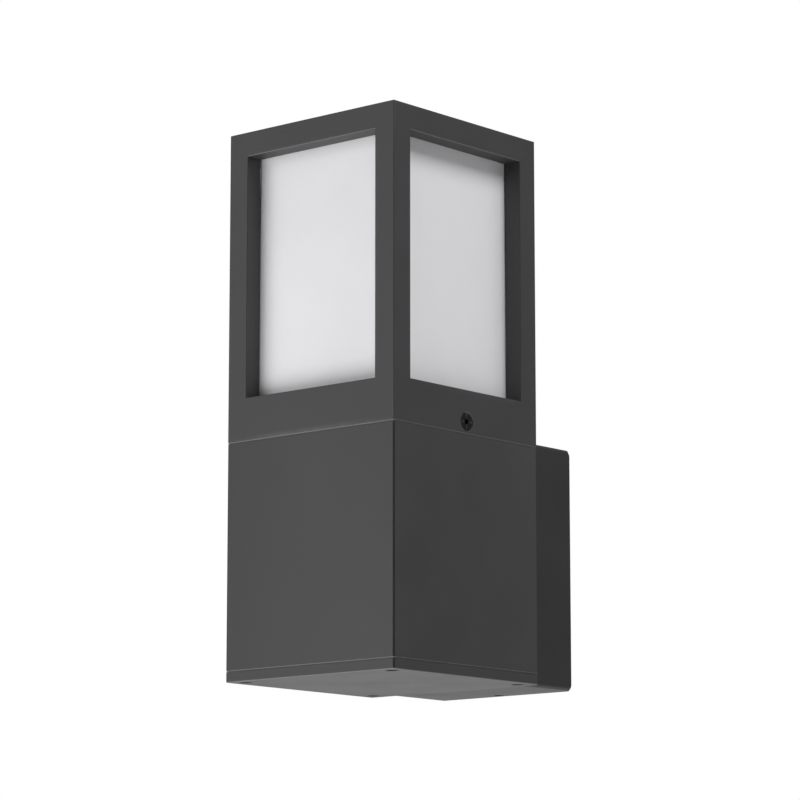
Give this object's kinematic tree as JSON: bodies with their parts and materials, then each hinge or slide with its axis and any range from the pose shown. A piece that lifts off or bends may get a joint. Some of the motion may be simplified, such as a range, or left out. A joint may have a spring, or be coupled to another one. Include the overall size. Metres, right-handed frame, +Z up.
{
  "type": "outdoor wall lantern",
  "caption": "Square-column outdoor wall lantern with a windowed cage round an opal diffuser, a closed wiring body and a wall box behind.",
  "frame": {"origin": "middle of the wall plate's back face, on the wall", "axes": "+Z up along the column, +Y into the wall, so the lantern stands out towards -Y; +X is to the right of a viewer who faces the wall"},
  "size_m": [0.1, 0.139, 0.253],
  "materials": {
    "anthracite": "die-cast, with a fine matt anthracite powder coat",
    "opal": "opal, satin",
    "cast_aluminium": "as cast",
    "rubber": "matt",
    "silicone": "translucent white, matt",
    "porcelain": "glazed",
    "brass": "plain",
    "nylon": "moulded",
    "live_wire": "smooth",
    "neutral_wire": "smooth",
    "earth_wire": "smooth, green with a yellow stripe",
    "black_glass": "glossy",
    "nickel": "nickel plated",
    "lamp_plastic": "smooth white",
    "black_steel": "black oxide",
    "steel": "zinc plated"
  },
  "bodies": {
    "bracket": {"wall_plate": "steel", "plate_grommet": "rubber"},
    "body": {"body_housing": "anthracite", "lamp_tray": "cast_aluminium", "spigot_seal": "rubber", "tray_screw_1": "steel", "tray_screw_2": "steel", "tray_screw_3": "steel", "tray_screw_4": "steel", "lampholder_body": "porcelain", "lampholder_sleeve": "brass", "lampholder_contact": "brass", "lampholder_screw_right": "steel", "lampholder_screw_left": "steel", "terminal_block": "nylon", "terminal_screw_live": "brass", "terminal_screw_earth": "brass", "terminal_screw_neutral": "brass", "block_screw_1": "steel", "block_screw_2": "steel", "live_wire": "live_wire", "neutral_wire": "neutral_wire", "earth_wire": "earth_wire", "earth_lug": "steel", "earth_screw": "brass", "wall_box": "anthracite", "box_gasket": "rubber", "cable_bush": "rubber", "box_screw_1": "steel", "box_screw_2": "steel", "box_screw_3": "steel", "box_screw_4": "steel", "wall_gasket": "rubber"},
    "head": {"lantern_cage": "anthracite", "opal_diffuser": "opal", "diffuser_gasket": "silicone", "diffuser_retainer": "steel", "retainer_screw_1": "steel", "retainer_screw_2": "steel", "retainer_screw_3": "steel", "retainer_screw_4": "steel"},
    "cover": {"bottom_cover": "anthracite", "cover_gasket": "rubber", "cover_screw_1": "black_steel", "cover_screw_2": "black_steel", "cover_screw_3": "black_steel", "cover_screw_4": "black_steel"},
    "lamp_foot": {"lamp_foot_contact": "brass"},
    "lamp": {"lamp_cap": "nickel", "lamp_insulator": "black_glass", "lamp_shell": "lamp_plastic", "lamp_globe": "opal"},
    "screw_right": {"cage_screw_right": "black_steel"},
    "screw_left": {"cage_screw_left": "black_steel"},
    "set_screw": {"wall_set_screw": "black_steel"}
  },
  "joints": [
    {"name": "take_down", "type": "slide", "parent": "bracket", "child": "body", "axis": [0, -1, 0], "range_m": [0, 0.06]},
    {"name": "head_lift", "type": "slide", "parent": "body", "child": "head", "axis": [0, 0, 1], "range_m": [0, 0.13]},
    {"name": "cover_drop", "type": "slide", "parent": "body", "child": "cover", "axis": [0, 0, -1], "range_m": [0, 0.03]},
    {"name": "lamp_rise", "type": "slide", "parent": "body", "child": "lamp_foot", "axis": [0, 0, 1], "range_m": [0, 0.0218]},
    {"name": "lamp_turn", "type": "hinge", "parent": "lamp_foot", "child": "lamp", "pos_m": [0, -0.089, 0.062], "axis": [0, 0, 1], "range_deg": [0, 2160]},
    {"name": "screw_right_out", "type": "slide", "parent": "head", "child": "screw_right", "axis": [1, 0, 0], "range_m": [0, 0.008]},
    {"name": "screw_left_out", "type": "slide", "parent": "head", "child": "screw_left", "axis": [-1, 0, 0], "range_m": [0, 0.008]},
    {"name": "set_screw_out", "type": "slide", "parent": "body", "child": "set_screw", "axis": [0, 0, -1], "range_m": [0, 0.009]}
  ],
  "couplings": [
    {"joint": "lamp_rise", "follows": "lamp_turn", "m_per_rad": 0.00057757}
  ]
}
